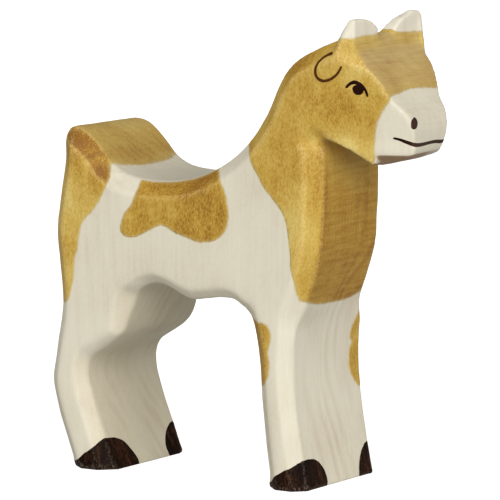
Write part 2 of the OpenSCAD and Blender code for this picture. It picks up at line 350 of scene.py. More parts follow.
# The patches and spots end at this distance from the middle, on the bevels of the sides
PATCH_EDGE_Y = 10.0
RIGHT_SPOT = [(5, 29), (6.6, 28.2), (8, 27.9), (9.5, 27.8), (10.7, 26.9), (11.1, 25.1),
              (10.7, 23.1), (10.9, 20.9), (10.7, 19), (10, 17.9), (9.2, 17.3), (7, 16.9),
              (4, 17.6)]
# The left spot mirrors the right one about half this X, and reaches further down
LEFT_SPOT_SHIFT = 22
LEFT_SPOT_LONGER, LONGER_BELOW_Z = 2, (16, 24)
LEFT_SPOT_FRONT = [(16, 29.2), (12, 28.9), (10.4, 28.1), (8.8, 26.4), (7.8, 24.8), (7.6, 23.4),
                   (8.2, 22.6), (7.6, 21.8), (7.4, 20.3), (7.9, 18.9), (9.2, 17.4), (10.8, 16.2),
                   (16, 15.4)]

# How the borders waver: [height, width, seed]
COAT_WAVES = ((0.12, 2.4, 11), (0.02, 0.9, 12))
HOOF_WAVE = (0.07, 1.1, 21)

shoulder = beside(x, z, SHOULDER)
chest = beside(y, z, CHEST)
at_chest = facing_front * smooth(*CHEST_FRONT_X, x) * (1 - smooth(*CHEST_FRONT_Z, z))
shoulder = shoulder * (1 - at_chest) + chest * at_chest
muzzle = -beside(x, z, MUZZLE)
at_nose = facing_front * smooth(*HEAD_X, x)
muzzle = muzzle * (1 - at_nose) + beside(y, z, NOSE) * at_nose
# The height of the crown's border runs evenly from the right ear to the left ear
crown = CROWN_RIGHT_Z + (CROWN_LEFT_Z - CROWN_RIGHT_Z) * (y + EAR_Y) / (2 * EAR_Y) - z
# Between the ears the stain reaches up to the crown
crown += (CROWN_BULGE * (1 - (y / EAR_Y) ** 2)
          + CROWN_IN_NOTCH * (1 - smooth(*NOTCH_Y, np.abs(y))))
wobble = waves(points, *COAT_WAVES)
zones = {}
# The chest's border holds at the front only, and further back it is moved out of the way
OUT_OF_THE_WAY = 20
chest_end = chest + OUT_OF_THE_WAY * (1 - smooth(*CHEST_END_X, x))
zones["neck_coat"] = np.minimum(np.minimum(shoulder, chest_end),
                                np.minimum(muzzle, crown)) + wobble
CLEARLY = 0.3
on_top = facing_across * (normals[:, 2] > CLEARLY)
on_rear = facing_across * (normals[:, 0] < -CLEARLY) * (z < RUMP_REAR_TOP_Z)
rump_bulge = ((1 - (y / RUMP_HALF_WIDTH) ** 2)
              * (RUMP_BULGE_TOP * on_top + RUMP_BULGE_REAR * on_rear))
zones["rump_coat"] = -beside(x, z, RUMP) + rump_bulge + wobble
for side, tag in ((RIGHT, "right"), (LEFT, "left")):
    zones["back_patch_" + tag] = np.minimum(
        within(x, z, PATCH) + wobble, side * y - PATCH_EDGE_Y)
zones["leg_spot_right"] = np.minimum(within(x, z, RIGHT_SPOT) + wobble, -y - PATCH_EDGE_Y)
longer_z = z + LEFT_SPOT_LONGER * (1 - smooth(*LONGER_BELOW_Z, z))
zones["leg_spot_left"] = np.minimum(within(LEFT_SPOT_SHIFT - x, longer_z, RIGHT_SPOT),
                                    within(y, longer_z, LEFT_SPOT_FRONT)) + wobble

# Hooves: [X, Z] border on the outer side, and [Y, Z] border on the front with Y as on the right
# side. Behind, each hoof reaches up to HEEL_Z, and inwards as far as its CAD node
HIND_OUTER = [(-40, 0.9), (-31, 1), (-28.1, 1.3), (-26, 2.8), (-24.5, 3.8), (-23.6, 5),
              (-22.8, 5.5), (-20, 5.9)]
FRONT_OUTER = [(4, 0.5), (9.5, 0.9), (10.9, 1.5), (12, 2.4), (13.2, 3.1), (14.6, 3.8),
               (15.5, 4.5), (16.4, 5), (19, 5.6)]
HOOVES = {
    "hoof_hind_right": (RIGHT, HIND_OUTER, [
        (-14, 5.5), (-10, 5.3), (-8.1, 5.1), (-6.8, 4.8), (-5.6, 4.2), (-4.8, 3.5), (-4.1, 2.7),
        (-3.5, 1.8), (-3.1, 0.9), (-3.1, -1)]),
    "hoof_hind_left": (LEFT, HIND_OUTER, [
        (-14, 5.6), (-10, 5.4), (-8.8, 5), (-7.5, 4.1), (-6.5, 3), (-6, 1.9), (-6, 0.9),
        (-6.4, -1)]),
    "hoof_front_right": (RIGHT, FRONT_OUTER, [
        (-14, 5), (-11.5, 5.1), (-9.9, 5.1), (-7.6, 5), (-5.8, 4.3), (-4.5, 3), (-3.9, 1.6),
        (-4, 0.3), (-4.2, -1)]),
    "hoof_front_left": (LEFT, FRONT_OUTER, [
        (-14, 5.8), (-10, 5.4), (-8.7, 4.8), (-7.4, 3.5), (-6.5, 1.8), (-6.1, 0), (-6, -1)]),
}
HEEL_Z = 0.9
CLEAR_OF_SOLE, CLEAR_OF_MIDDLE = 0.04, 1
BETWEEN_LEGS_X = -5
OUTSIDE = -9  # a field value that is never cut
for name, (side, outer, front) in HOOVES.items():
    own_leg = (x > BETWEEN_LEGS_X) if "front" in name else (x < BETWEEN_LEGS_X)
    outer_gap = -beside(x, z, outer)
    front_gap = -beside(-side * y, z, front)
    low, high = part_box(name)
    inner_y = (low[1] if side == LEFT else -high[1]) / MM
    rear_gap = np.minimum(HEEL_Z - z, side * y - inner_y)
    gap = (outer_gap * (1 - facing_front - facing_rear) + front_gap * facing_front
           + rear_gap * facing_rear)
    gap = np.minimum(gap + waves(points, HOOF_WAVE), side * y - CLEAR_OF_MIDDLE)
    zones[name] = np.where(own_leg, np.minimum(gap, z - CLEAR_OF_SOLE), OUTSIDE)

STAIN_NAMES = [name for name in zones if name not in HOOVES]
stained = np.max([zones[name] for name in STAIN_NAMES], axis=0)
# How much darker than the palest coat each coat dried
SOAKED = {"neck_coat": 0.02, "rump_coat": 0.02, "back_patch_right": 0.25,
          "back_patch_left": 0.25, "leg_spot_right": 0.3, "leg_spot_left": 0.2}
# The stain's tone: how much each coat soaked, plus painted light below the jaw
soaked = np.choose(np.argmax([zones[name] for name in STAIN_NAMES], axis=0),
                   [SOAKED[name] for name in STAIN_NAMES])
# Places [X, Z, radius, how much darker] where a coat dried darker or paler
BLOTCHES = [(27.5, 63, 7, 0.08), (22, 60.5, 4, 0.05), (12, 52, 7, -0.08), (15.5, 43, 6, -0.06),
            (-26.5, 45, 5, -0.12), (-29.5, 51, 4, 0.08), (-24, 51, 3, 0.08),
            (-27.5, 55, 3, 0.08), (18, 69, 5, -0.04), (26.4, 55.4, 2.2, -0.3),
            (24, 57.6, 2, -0.22), (28.5, 66.5, 2.2, 0.1), (17, 34, 4, -0.07)]
for blotch_x, blotch_z, radius, darker in BLOTCHES:
    soaked = soaked + darker * np.exp(-((x - blotch_x) ** 2 + (z - blotch_z) ** 2) / radius ** 2)
# Painted light on the front of the neck below the jaw, which lifts the head's shadow there
JAW_Z, JAW_REACH, JAW_PAINTED_LIGHT, THROAT_X = 56, 5, 0.28, 21
soaked = soaked - (JAW_PAINTED_LIGHT * np.exp(-((z - JAW_Z) ** 2) / JAW_REACH ** 2)
                   * facing_front * (x < THROAT_X))

# ---------------------------------------------------------------- coats cut from the block

SNAP = 0.03
COAT_RISE, COAT_EDGE_RISE, COAT_EDGE_WIDTH = 0.03, 0.008, 0.5
COAT_DEPTH = 0.12


def cut_out(rows, field):
    """The part of the block's surface where the field is positive, cut along its zero line."""
    f = np.where(np.abs(field) < SNAP, SNAP, field)
    inside = f > 0
    count = inside[tris].sum(1)
    out = tris[count == 3].tolist()
    data = list(rows)
    values = list(f)
    crossings = {}

    def crossing(a, b):
        key = (min(a, b), max(a, b))
        if key not in crossings:
            t = f[key[0]] / (f[key[0]] - f[key[1]])
            crossings[key] = len(data)
            data.append(rows[key[0]] * (1 - t) + rows[key[1]] * t)
            values.append(0.0)
        return crossings[key]

    for tri in tris[(count == 1) | (count == 2)]:
        flags = inside[tri]
        one = flags.sum() == 1
        k = int(np.argmax(flags if one else ~flags))
        a, b, c = (int(tri[(k + i) % 3]) for i in range(3))
        ab, ac = crossing(a, b), crossing(a, c)
        out += [(a, ab, ac)] if one else [(ab, b, c), (ab, c, ac)]
    out = np.array(out)
    used, index = np.unique(out, return_inverse=True)
    return np.array(data)[used], np.array(values)[used], index.reshape(-1, 3)


def coat_piece(name, node, field, look):
    """One coat as a thin closed shell on the block, where the field is positive."""
    rows = np.column_stack((points, normals, ridge, stained, soaked))
    rows, depth_in, faces = cut_out(rows, field)
    p, n = rows[:, :3], rows[:, 3:6]
    n = n / np.linalg.norm(n, axis=1)[:, None]
    rise = COAT_EDGE_RISE + (COAT_RISE - COAT_EDGE_RISE) * smooth(0, COAT_EDGE_WIDTH, depth_in)
    outer = p + n * rise[:, None]
    inner = p - n * COAT_DEPTH
    for sheet in (outer, inner):
        sheet[:, 2] = np.maximum(sheet[:, 2], 0)
    verts, skin, walls = shell(outer, inner, faces.tolist())
    values = {key: np.tile(rows[:, 6 + i], 2) for i, key in
              enumerate(("ridge", "stained", "soaked"))}
    settle(add_piece(name, verts, skin + walls, len(skin), **values), node, look)


# ---------------------------------------------------------------- looks

def srgb(r, g, b):
    """A linear colour from the 0 to 255 values that a paint chart gives."""
    def linear(v):
        v /= 255
        return v / 12.92 if v <= 0.04045 else ((v + 0.055) / 1.055) ** 2.4
    return (linear(r), linear(g), linear(b), 1)


class Look:
    """One procedural material. Its patterns lie in the block's own space, in mm."""

    def __init__(self, name):
        self.material = bpy.data.materials.new(name)
        self.material.use_nodes = True
        self.tree = self.material.node_tree
        self.tree.nodes.clear()
        output = self.tree.nodes.new("ShaderNodeOutputMaterial")
        self.shader = self.tree.nodes.new("ShaderNodeBsdfPrincipled")
        self.tree.links.new(self.shader.outputs[0], output.inputs[0])
        place = self.tree.nodes.new("ShaderNodeTexCoord").outputs["Object"]
        self.mm = self.vector("SCALE", place, scale=1 / MM)
        split = self.tree.nodes.new("ShaderNodeSeparateXYZ")
        self.tree.links.new(self.mm, split.inputs[0])
        self.x, self.y, self.z = split.outputs

    def feed(self, socket, value):
        """Links a socket to the value, or sets it to a plain number or colour."""
        if isinstance(value, bpy.types.NodeSocket):
            self.tree.links.new(value, socket)
        else:
            socket.default_value = value

    def vector(self, operation, a, b=None, scale=None):
        node = self.tree.nodes.new("ShaderNodeVectorMath")
        node.operation = operation
        self.feed(node.inputs[0], a)
        if b is not None:
            self.feed(node.inputs[1], b)
        if scale is not None:
            self.feed(node.inputs["Scale"], scale)
        return node.outputs["Value" if operation == "LENGTH" else "Vector"]

    def math(self, operation, a, b=0.0):
        node = self.tree.nodes.new("ShaderNodeMath")
        node.operation = operation
        self.feed(node.inputs[0], a)
        self.feed(node.inputs[1], b)
        return node.outputs[0]

    def times(self, *factors):
        result = factors[0]
        for factor in factors[1:]:
            result = self.math("MULTIPLY", result, factor)
        return result

    def size_of(self, value):
        return self.math("ABSOLUTE", value)

    def towards(self, value, target, share):
        """The value, moved towards the target by a share of the gap."""
        gap = self.math("SUBTRACT", target, value)
        return self.math("ADD", value, self.times(share, gap))

    def total(self, *terms):
        """Sum of sockets, plain numbers, and (weight, socket) pairs."""
        result = 0.0
        for term in terms:
            part = self.math("MULTIPLY", term[1], term[0]) if isinstance(term, tuple) else term
            result = part if isinstance(result, float) and result == 0.0 else self.math(
                "ADD", part, result)
        return result

    def step(self, value, low, high, to_low=0.0, to_high=1.0):
        """Runs smoothly from to_low at low to to_high at high."""
        node = self.tree.nodes.new("ShaderNodeMapRange")
        node.interpolation_type = "SMOOTHSTEP"
        for key, v in (("Value", value), ("From Min", low), ("From Max", high),
                       ("To Min", to_low), ("To Max", to_high)):
            self.feed(node.inputs[key], v)
        return node.outputs["Result"]

    def noise(self, per_mm, detail=3.0, roughness=0.55, shift=0.0):
        """Noise with that many lumps per mm along X, Y and Z."""
        where = self.vector("MULTIPLY", self.mm, per_mm)
        where = self.vector("ADD", where, (shift, shift * 1.7, shift * 0.6))
        node = self.tree.nodes.new("ShaderNodeTexNoise")
        self.feed(node.inputs["Vector"], where)
        node.inputs["Scale"].default_value = 1
        node.inputs["Detail"].default_value = detail
        node.inputs["Roughness"].default_value = roughness
        return node.outputs[0]

    def mix(self, share, a, b, blend="MIX"):
        node = self.tree.nodes.new("ShaderNodeMix")
        node.data_type = "RGBA"
        node.blend_type = blend
        self.feed(node.inputs[0], share)
        self.feed(node.inputs[6], a)
        self.feed(node.inputs[7], b)
        return node.outputs[2]

    def ramp(self, value, *stops):
        """Colour ramp from (place, colour) stops."""
        node = self.tree.nodes.new("ShaderNodeValToRGB")
        self.feed(node.inputs[0], value)
        elements = node.color_ramp.elements
        while len(elements) < len(stops):
            elements.new(0.5)
        for element, (at, colour) in zip(elements, stops):
            element.position = at
            element.color = colour
        return node.outputs[0]

    def value_of(self, name):
        node = self.tree.nodes.new("ShaderNodeAttribute")
        node.attribute_name = name
        return node.outputs["Fac"]

    def finish(self, colour, roughness, height, specular, bump, relief):
        """relief is the height of the pattern in mm."""
        self.feed(self.shader.inputs["Base Color"], colour)
        self.feed(self.shader.inputs["Roughness"], roughness)
        self.shader.inputs["Specular IOR Level"].default_value = specular
        node = self.tree.nodes.new("ShaderNodeBump")
        node.inputs["Strength"].default_value = bump
        node.inputs["Distance"].default_value = relief * MM
        self.feed(node.inputs["Height"], height)
        self.tree.links.new(node.outputs[0], self.shader.inputs["Normal"])
        return self.material


# Lumps per mm of each noise along X, Y and Z: the grain runs upright, so Z has the fewest
WARP, RIPPLE = (0.045, 0.08, 0.014), (0.16, 0.22, 0.03)
LAYER_WIDTH = 1.9
PITH_XY = (-60, 40)
FIBRES, FLECKS, CLOUDS = (1.5, 1.5, 0.07), (3.8, 3.8, 1.9), (0.1, 0.1, 0.07)


def grain_of(look):
    """The figure of the wood: growth layers, fibre, pores and soft clouds, each from 0 to 1."""
    warp = look.noise(WARP, 2)
    ripple = look.noise(RIPPLE, 2, shift=5)
    pith = look.vector("ADD", look.vector("MULTIPLY", look.mm, (1, 1, 0)),
                       (-PITH_XY[0], -PITH_XY[1], 0))
    radius = look.total(look.vector("LENGTH", pith), (9.0, warp), (1.3, ripple))
    layer = look.math("FRACT", look.times(radius, 1 / LAYER_WIDTH))
    late = look.step(layer, 0.2, 0.75)
    sharp = look.step(layer, 0.75, 1.0, 1.0, 0.0)
    strength = look.step(look.noise((0.12, 0.12, 0.03), 2, shift=9), 0.3, 0.7)
    layer = look.times(late, sharp, strength)
    fibre = look.step(look.noise(FIBRES, 4, 0.6, shift=2), 0.25, 0.75)
    fleck = look.step(look.noise(FLECKS, 3, 0.65, shift=7), 0.3, 0.72)
    cloud = look.step(look.noise(CLOUDS, 3, 0.5, shift=3), 0.3, 0.7)
    return layer, fibre, fleck, cloud


# Colour ramps, each from pale to dark
WHITEWASH = ((0.0, srgb(234, 229, 209)), (0.45, srgb(225, 218, 196)),
             (0.8, srgb(212, 202, 179)), (1.0, srgb(200, 187, 162)))
LAYER_PINK = srgb(208, 188, 168)
# Painted highlight for the ridges of the white paint
RIDGE_HIGHLIGHT_WHITE = srgb(242, 235, 212)
OCHRE = ((0.0, srgb(228, 209, 128)), (0.35, srgb(214, 183, 94)), (0.62, srgb(198, 160, 64)),
         (0.85, srgb(174, 129, 36)), (1.0, srgb(146, 98, 24)))
WORN_OCHRE = srgb(236, 206, 140)
FRINGE_OCHRE = srgb(206, 182, 100)
# Painted grey sheen for stained faces that look up
SHEEN_GREY_OCHRE = srgb(184, 160, 122)
# Painted grey sheen for the upper half of the forehead
BROW_SHEEN_GREY = srgb(194, 170, 132)
EAR_WHITE = srgb(248, 242, 224)
# Painted shade, tinted by bounce light, for the fronts of the hind legs
SHADE_YELLOW = srgb(212, 196, 156)
# Painted shadow for the bare wood under the chin
CHIN_SHADOW_BROWN = srgb(146, 112, 76)


def whitewash(look, layer, fibre, fleck, cloud, ridge_value):
    """Thin white paint. The growth layers show through it, and the ridges get a painted highlight.
    """
    tone = look.total((0.22, fibre), (0.18, fleck), (0.32, cloud), (0.22, layer))
    colour = look.ramp(tone, *WHITEWASH)
    colour = look.mix(look.times(layer, 0.25), colour, LAYER_PINK)
    # The ridges are painted whiter: a painted highlight where the light catches them
    return look.mix(look.step(ridge_value, 0.25, 0.95, 0.0, 0.2), colour, RIDGE_HIGHLIGHT_WHITE)


def stain(look, layer, fibre, fleck, cloud, ridge_value, depth_in, facing, front):
    """Ochre stain. End grain drinks it and turns brown, the front of the chest is darker, partly
    as painted shade, and sanded ridges stay light.
    """
    brush = look.step(look.noise((0.25, 0.25, 0.16), 4, 0.6, shift=12), 0.25, 0.75)
    brush = look.towards(brush, 0.5, look.times(0.7, front))
    tone = look.total((0.1, fibre), (0.34, fleck), (0.28, cloud), (0.26, brush), (0.14, layer),
                      (0.26, facing), look.value_of("soaked"))
    colour = look.ramp(tone, *OCHRE)
    specks = look.step(look.noise((3, 3, 3), 3, 0.7, shift=19), 0.45, 0.6)
    worn = look.times(look.step(ridge_value, 0.2, 0.9, 0.0, 0.6), specks)
    colour = look.mix(worn, colour, WORN_OCHRE)
    return look.mix(look.step(depth_in, 0.05, 0.7, 0.4, 0.0), colour, FRINGE_OCHRE)


# Where the wood's look changes along the block, in mm
RUMP_END_X, NAPE_X, SADDLE_X = (-19, -16), (4, 7), (0, 18)
BODY_END_X, FOREHEAD_X, SNOUT_X = (18, 22), (25, 26.5), (28, 31)
CHEST_FOOT_Z, CHEST_TOP_Z = (28, 31), (60, 63)
HIGH_BROW_Z, EAR_TIPS_Z = (67, 72), (74, 76)
HIND_LEGS_END_X = (-14, -10)
CHIN_X, CHIN_FADES_Y = (24, 27), (-1, 2)


def wood_look(name):
    """Whitewashed wood, with ochre stain where the mesh says that it is stained."""
    look = Look(name)
    layer, fibre, fleck, cloud = grain_of(look)
    ridge_value = look.value_of("ridge")
    depth_in = look.value_of("stained")
    normal = look.tree.nodes.new("ShaderNodeNewGeometry").outputs["Normal"]
    split = look.tree.nodes.new("ShaderNodeSeparateXYZ")
    look.feed(split.inputs[0], normal)
    ahead, left, up = split.outputs
    sideways = look.size_of(left)
    # The growth layers show best on the sides of the body
    layer = look.times(layer, look.step(look.size_of(ahead), 0.2, 0.7, 0.3, 1.0),
                       look.step(look.x, *SNOUT_X, 1.0, 0.3))
    # End grain drinks stain, most of all above the rump, and the front of the chest is darker,
    # partly from its stain and partly as painted shade under the head
    end_grain = look.times(look.step(look.x, *BODY_END_X, 1.0, 0.0),
                           look.step(look.size_of(up), 0.25, 0.6))
    drinks = look.step(look.x, *RUMP_END_X, 0.8, 0.35)
    front = look.times(look.step(ahead, 0.6, 0.95), look.step(look.z, *CHEST_FOOT_Z),
                       look.step(look.z, *CHEST_TOP_Z, 1.0, 0.0))
    # The bevels above the rump drank the most, and the bevels of the nape a little
    slope = look.times(look.step(up, 0.25, 0.45), look.step(sideways, 0.35, 0.55))
    slope_drinks = look.total(look.step(look.x, *RUMP_END_X, 0.6, 0.0),
                              look.step(look.x, *NAPE_X, 0.0, 0.35))
    # The front of the chest is darkened, partly stain and partly painted shade under the head
    facing = look.total(look.times(end_grain, drinks), (1.3, front),
                        look.times(slope, slope_drinks))
    # End grain is gritty, and the brush crossed the front of the chest and the forehead
    grit = look.step(look.noise((3.4, 3.4, 3.4), 3, 0.65, shift=15), 0.3, 0.72)
    fleck = look.towards(fleck, grit, end_grain)
    bands = look.step(look.noise((0.6, 0.12, 1.7), 4, 0.65, shift=17), 0.28, 0.72)
    forehead = look.times(look.step(look.x, *FOREHEAD_X),
                          look.step(sideways, 0.2, 0.4, 1.2, 0.0))
    fleck = look.towards(fleck, bands,
                         look.math("MAXIMUM", look.times(front, 0.5), forehead))
    cloud = look.towards(cloud, 0.5, front)
    white = whitewash(look, layer, fibre, fleck, cloud, ridge_value)
    ochre = stain(look, layer, fibre, fleck, cloud, ridge_value, depth_in, facing, front)
    # Stained faces that look up get a painted grey sheen, and so does the upper half of the
    # forehead
    upward_sheen = look.times(look.step(sideways, 0.3, 0.5, 1.0, 0.0),
                        look.step(look.x, *SADDLE_X, 0.2, 0.42), look.step(up, 0.1, 0.5))
    # Painted sheen: faces that look up are mixed towards grey
    ochre = look.mix(upward_sheen, ochre, SHEEN_GREY_OCHRE)
    # Painted sheen: the upper forehead is mixed towards grey
    high_brow_sheen = look.times(forehead, look.step(look.z, *HIGH_BROW_Z, -0.12, 0.16))
    ochre = look.mix(look.math("MAXIMUM", high_brow_sheen, 0.0), ochre, BROW_SHEEN_GREY)
    # The ears are the whitest part, the fronts of the hind legs get a painted yellow shade, and
    # the bare wood under the chin gets a painted shadow
    white = look.mix(look.step(look.z, *EAR_TIPS_Z, 0.0, 0.4), white, EAR_WHITE)
    # Painted shade: the fronts of the hind legs under the belly are darkened and tinted yellow
    hind_front_shade = look.times(look.step(ahead, 0.4, 0.8, 0.0, 0.2),
                          look.step(look.x, *HIND_LEGS_END_X, 1.0, 0.0))
    white = look.mix(hind_front_shade, white, SHADE_YELLOW)
    # Painted shadow: downward faces under the chin are painted dark brown
    chin = look.times(look.step(up, -0.7, -0.4, 0.9, 0.0), look.step(look.x, *CHIN_X),
                      look.step(look.y, *CHIN_FADES_Y, 1.0, 0.4))
    white = look.mix(chin, white, CHIN_SHADOW_BROWN)
    # The border of the stain is a little uneven
    soak = look.total(depth_in, (0.5, look.noise((1.6, 1.6, 0.8), 3, shift=4)), -0.25)
    colour = look.mix(look.step(soak, -0.3, 0.22), white, ochre)
    roughness = look.total((0.16, fleck), (0.08, cloud), 0.4)
    height = look.total((0.5, fibre), (0.35, fleck), (-0.05, layer))
    return look.finish(colour, roughness, height, specular=0.4, bump=0.35, relief=0.06)


HOOF_RAMP = ((0.2, srgb(12, 5, 2)), (0.6, srgb(30, 17, 9)), (0.85, srgb(66, 38, 22)),
             (1.0, srgb(92, 60, 40)))
WORN_HOOF = srgb(122, 106, 92)


def hoof_look():
    """Dark stain, rubbed grey on the ridges."""
    look = Look("hoof_stain")
    layer, fibre, fleck, cloud = grain_of(look)
    tone = look.total((0.45, fibre), (0.35, fleck), (0.3, cloud))
    worn = look.times(look.step(look.value_of("ridge"), 0.35, 0.95, 0.0, 0.42),
                      look.step(fleck, 0.3, 0.8))
    colour = look.mix(worn, look.ramp(tone, *HOOF_RAMP), WORN_HOOF)
    roughness = look.total((0.25, fleck), 0.36)
    height = look.total((0.6, fibre), (0.5, fleck))
    return look.finish(colour, roughness, height, specular=0.06, bump=0.4, relief=0.06)


PAINT_RAMP = ((0.25, srgb(20, 4, 1)), (0.55, srgb(40, 14, 6)), (0.85, srgb(86, 50, 30)))
THIN_PAINT, WASHED_PAINT = srgb(118, 70, 26), srgb(128, 104, 86)
CURLS_END_X, MUZZLE_FRONT_X = (24.3, 24.8), (33.0, 34.0)


def paint_look():
    """Brown brush paint, thin on the ears' curls and on the front of the muzzle."""
    look = Look("brush_paint")
    pool = look.noise((1.4, 1.4, 1.4), 3, shift=6)
    streak = look.noise((4, 4, 1.2), 3, shift=8)
    colour = look.ramp(look.total((0.55, pool), (0.45, streak)), *PAINT_RAMP)
    colour = look.mix(look.step(look.x, *CURLS_END_X, 0.4, 0.0), colour, THIN_PAINT)
    colour = look.mix(look.step(look.x, *MUZZLE_FRONT_X, 0.0, 0.18), colour, WASHED_PAINT)
    roughness = look.total((0.2, streak), 0.35)
    return look.finish(colour, roughness, streak, specular=0.08, bump=0.3, relief=0.03)


maple = wood_look("whitewashed_maple")
ochre = wood_look("ochre_stain")
hoof = hoof_look()
paint = paint_look()

# ---------------------------------------------------------------- the pieces

block = add_piece("carved_maple_block", points, tris, ridge=ridge, stained=stained,
                  soaked=soaked)
settle(block, "wood_body", maple)

for name in STAIN_NAMES:
    coat_piece(name + "_stain", name, zones[name], ochre)
for name in HOOVES:
    coat_piece(name + "_stain", name, zones[name], hoof)

# ---------------------------------------------------------------- brush lines

tree = BVHTree.FromPolygons(points.tolist(), tris.tolist())
PAINT_RISE, PAINT_EDGE_RISE = 0.05, 0.012
PAINT_DEPTH = 0.12
RAY_LENGTH = 30.0


def landed(starts, directions):
    """Where rays towards the block meet it, and the block's smooth normal there."""
    spots, ups = [], []
    for start, direction in zip(starts, directions):
        hit, _, index, _ = tree.ray_cast(Vector(start), Vector(direction))
        if hit is None:
            raise ValueError("a brush line misses the block")
        corner = tris[index]
        gaps = np.linalg.norm(points[corner] - np.array(hit), axis=1) + 1e-6
        up = (normals[corner] / gaps[:, None]).sum(0)
        spots.append(np.array(hit))
        ups.append(up / np.linalg.norm(up))
    return np.array(spots), np.array(ups)


ACROSS = 7  # points across a stroke


def ribbon(line, widths, directions_of, starts_of):
    """A brush stroke along a flat line, with a width at each point of it."""
    n = len(line)
    tangent = np.gradient(line, axis=0)
    tangent /= np.linalg.norm(tangent, axis=1)[:, None]
    sideways = np.column_stack((-tangent[:, 1], tangent[:, 0]))
    u = np.linspace(-1, 1, ACROSS)
    flat = (line[:, None, :] + sideways[:, None, :] * (widths[:, None] / 2 * u)[:, :, None])
    flat = flat.reshape(-1, 2)
    spots, ups = landed(starts_of(flat), directions_of(flat))
    crown_of_paint = np.sqrt(np.clip(1 - np.tile(u, n) ** 2, 0, 1))
    heights = PAINT_EDGE_RISE + PAINT_RISE * crown_of_paint * np.repeat(
        np.clip(widths / widths.max(), 0, 1), ACROSS)
    loops = [(i * ACROSS + j, i * ACROSS + j + 1, (i + 1) * ACROSS + j + 1, (i + 1) * ACROSS + j)
             for i in range(n - 1) for j in range(ACROSS - 1)]
    return spots, ups, heights, loops


def round_ends(widths, line, low=0.12):
    """Gives a stroke round ends, as a wet brush leaves them."""
    run = np.concatenate(([0], np.cumsum(np.linalg.norm(np.diff(line, axis=0), axis=1))))
    reach = np.minimum(run, run[-1] - run) / (widths / 2)
    return widths * np.sqrt(np.clip(1 - (1 - np.clip(reach, low, 1)) ** 2, low ** 2, 1))


END_SHARES = np.array([[0], [0.08], [0.25], [0.5], [0.75]])


def finer_ends(points_2d):
    """A smooth line through the points, with closer points in its first and last step."""
    line = spline(points_2d, parts=10)
    first = line[0] + (line[1] - line[0]) * END_SHARES
    last = line[-1] + (line[-2] - line[-1]) * END_SHARES[::-1]
    return np.vstack((first, line[1:-1], last))


def side_rays(side):
    """Rays that fall square on one side of the block, at points [X, Z]."""
    def starts(flat):
        return np.column_stack((flat[:, 0], np.full(len(flat), side * RAY_LENGTH), flat[:, 1]))

    def directions(flat):
        return np.tile((0.0, -side, 0.0), (len(flat), 1))
    return directions, starts


def outward(spots, ups, heights, loops):
    """Turns the loops so that the faces look away from the block."""
    a, b, c = (spots[loops[0][i]] for i in range(3))
    flip = np.dot(np.cross(b - a, c - a), ups[loops[0][0]]) < 0
    return spots, ups, heights, [tuple(reversed(f)) for f in loops] if flip else loops


def disc(centre, radius_u, radius_v, tilt, directions_of, starts_of, rings=6, spokes=28):
    """A round or oval drop of paint."""
    flat, heights = [centre], [PAINT_EDGE_RISE + PAINT_RISE]
    for i in range(1, rings + 1):
        r = i / rings
        for j in range(spokes):
            a = 2 * math.pi * j / spokes
            wave = 1 + 0.03 * math.sin(3 * a + 1) + 0.02 * math.sin(5 * a)
            u, v = radius_u * r * wave * math.cos(a), radius_v * r * wave * math.sin(a)
            flat.append((centre[0] + u * math.cos(tilt) - v * math.sin(tilt),
                         centre[1] + u * math.sin(tilt) + v * math.cos(tilt)))
            heights.append(PAINT_EDGE_RISE + PAINT_RISE * math.sqrt(max(0, 1 - r ** 2)))
    flat = np.array(flat)
    spots, ups = landed(starts_of(flat), directions_of(flat))
    loops = [(0, 1 + j, 1 + (j + 1) % spokes) for j in range(spokes)]
    for i in range(rings - 1):
        a, b = 1 + i * spokes, 1 + (i + 1) * spokes
        loops += [(a + j, b + j, b + (j + 1) % spokes, a + (j + 1) % spokes)
                  for j in range(spokes)]
    return spots, ups, np.array(heights), loops


def painted_piece(name, node, *marks):
    """One piece from one or more drops or strokes of paint."""
    verts, faces, walls = [], [], []
    offset = 0
    for mark in marks:
        spots, ups, heights, loops = outward(*mark)
        v, f, w = shell(spots + ups * heights[:, None], spots - ups * PAINT_DEPTH, loops)
        verts.append(v)
        faces += [[i + offset for i in face] for face in f]
        walls += [[i + offset for i in face] for face in w]
        offset += len(v)
    piece = add_piece(name, np.vstack(verts), faces + walls, len(faces))
    settle(piece, node, paint)


EAR_CURL = [(22.75, 72.75), (21.9, 72.5), (20.9, 71.9), (20.1, 71.0), (19.75, 70.0),
            (19.9, 69.0), (20.6, 68.4), (21.5, 68.25), (22.5, 68.6), (23.4, 69.3),
            (24.0, 70.1), (24.35, 70.8)]
EAR_CURL_WIDTHS = [0.68, 0.64, 0.56, 0.56, 0.6, 0.64, 0.64, 0.6, 0.54, 0.48, 0.44, 0.4]
EYELID = [(24.6, 67.1), (24.95, 67.55), (25.5, 67.95), (26.1, 68.1), (26.8, 67.75),
          (27.35, 67.1), (27.65, 66.35), (27.7, 65.65)]
EYELID_WIDTHS = [0.46, 0.52, 0.64, 0.78, 0.78, 0.62, 0.5, 0.36]
IRIS = (26.4, 66.85)
IRIS_R = 0.96


def widths_along(widths, line):
    return np.interp(np.linspace(0, 1, len(line)), np.linspace(0, 1, len(widths)), widths)


def stroke(points_2d, widths, rays):
    """A brush stroke through the points, with round ends."""
    line = finer_ends(points_2d)
    wide = round_ends(widths_along(widths, line), line)
    return ribbon(line, wide, *rays)


for side, tag in ((RIGHT, "right"), (LEFT, "left")):
    rays = side_rays(side)
    painted_piece("ear_curl_" + tag, "ear_line_" + tag, stroke(EAR_CURL, EAR_CURL_WIDTHS, rays))
    painted_piece("eye_" + tag + "_paint", "eye_" + tag, stroke(EYELID, EYELID_WIDTHS, rays),
                  disc(IRIS, IRIS_R, IRIS_R, 0, *rays))

